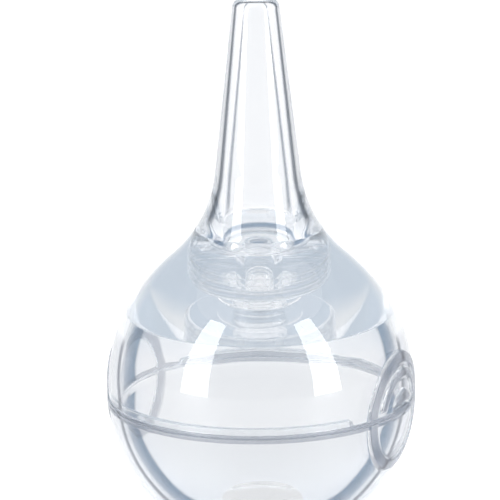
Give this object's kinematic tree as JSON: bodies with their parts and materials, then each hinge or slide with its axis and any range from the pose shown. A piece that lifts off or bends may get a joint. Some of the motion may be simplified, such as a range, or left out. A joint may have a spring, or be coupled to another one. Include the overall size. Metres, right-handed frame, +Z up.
{
  "type": "nasal aspirator",
  "caption": "Clear bulb nasal aspirator that stands upright: a tapered hollow nozzle pushes into a round bulb, which opens at its seam for cleaning.",
  "frame": {"origin": "middle of the flat under the bulb that the aspirator stands on", "axes": "+Z up through the nozzle; the two round grip pads lie at +X (the pressed one) and -X"},
  "size_m": [0.0526, 0.0524, 0.093],
  "materials": {
    "clear_rigid": "polished clear plastic",
    "clear_soft": "glossy clear soft rubber"
  },
  "bodies": {
    "lower_shell": {"bulb_lower": "clear_soft"},
    "upper_shell": {"bulb_upper": "clear_soft"},
    "nozzle": {"nozzle": "clear_rigid"},
    "thumb_upper": {"thumb_pad_upper": "clear_soft"},
    "thumb_lower": {"thumb_pad_lower": "clear_soft"}
  },
  "joints": [
    {"name": "bulb_open", "type": "slide", "parent": "lower_shell", "child": "upper_shell", "axis": [0, 0, 1], "range_m": [0, 0.03]},
    {"name": "nozzle_pull", "type": "slide", "parent": "upper_shell", "child": "nozzle", "axis": [0, 0, 1], "range_m": [0, 0.025]},
    {"name": "thumb_press", "type": "slide", "parent": "upper_shell", "child": "thumb_upper", "axis": [-1, 0, 0], "range_m": [0, 0.009], "stiffness_N_per_m": 500},
    {"name": "thumb_press_lower", "type": "slide", "parent": "lower_shell", "child": "thumb_lower", "axis": [-1, 0, 0], "range_m": [0, 0.009], "stiffness_N_per_m": 500}
  ],
  "couplings": [
    {"joint": "thumb_press_lower", "follows": "thumb_press", "ratio": 1}
  ]
}
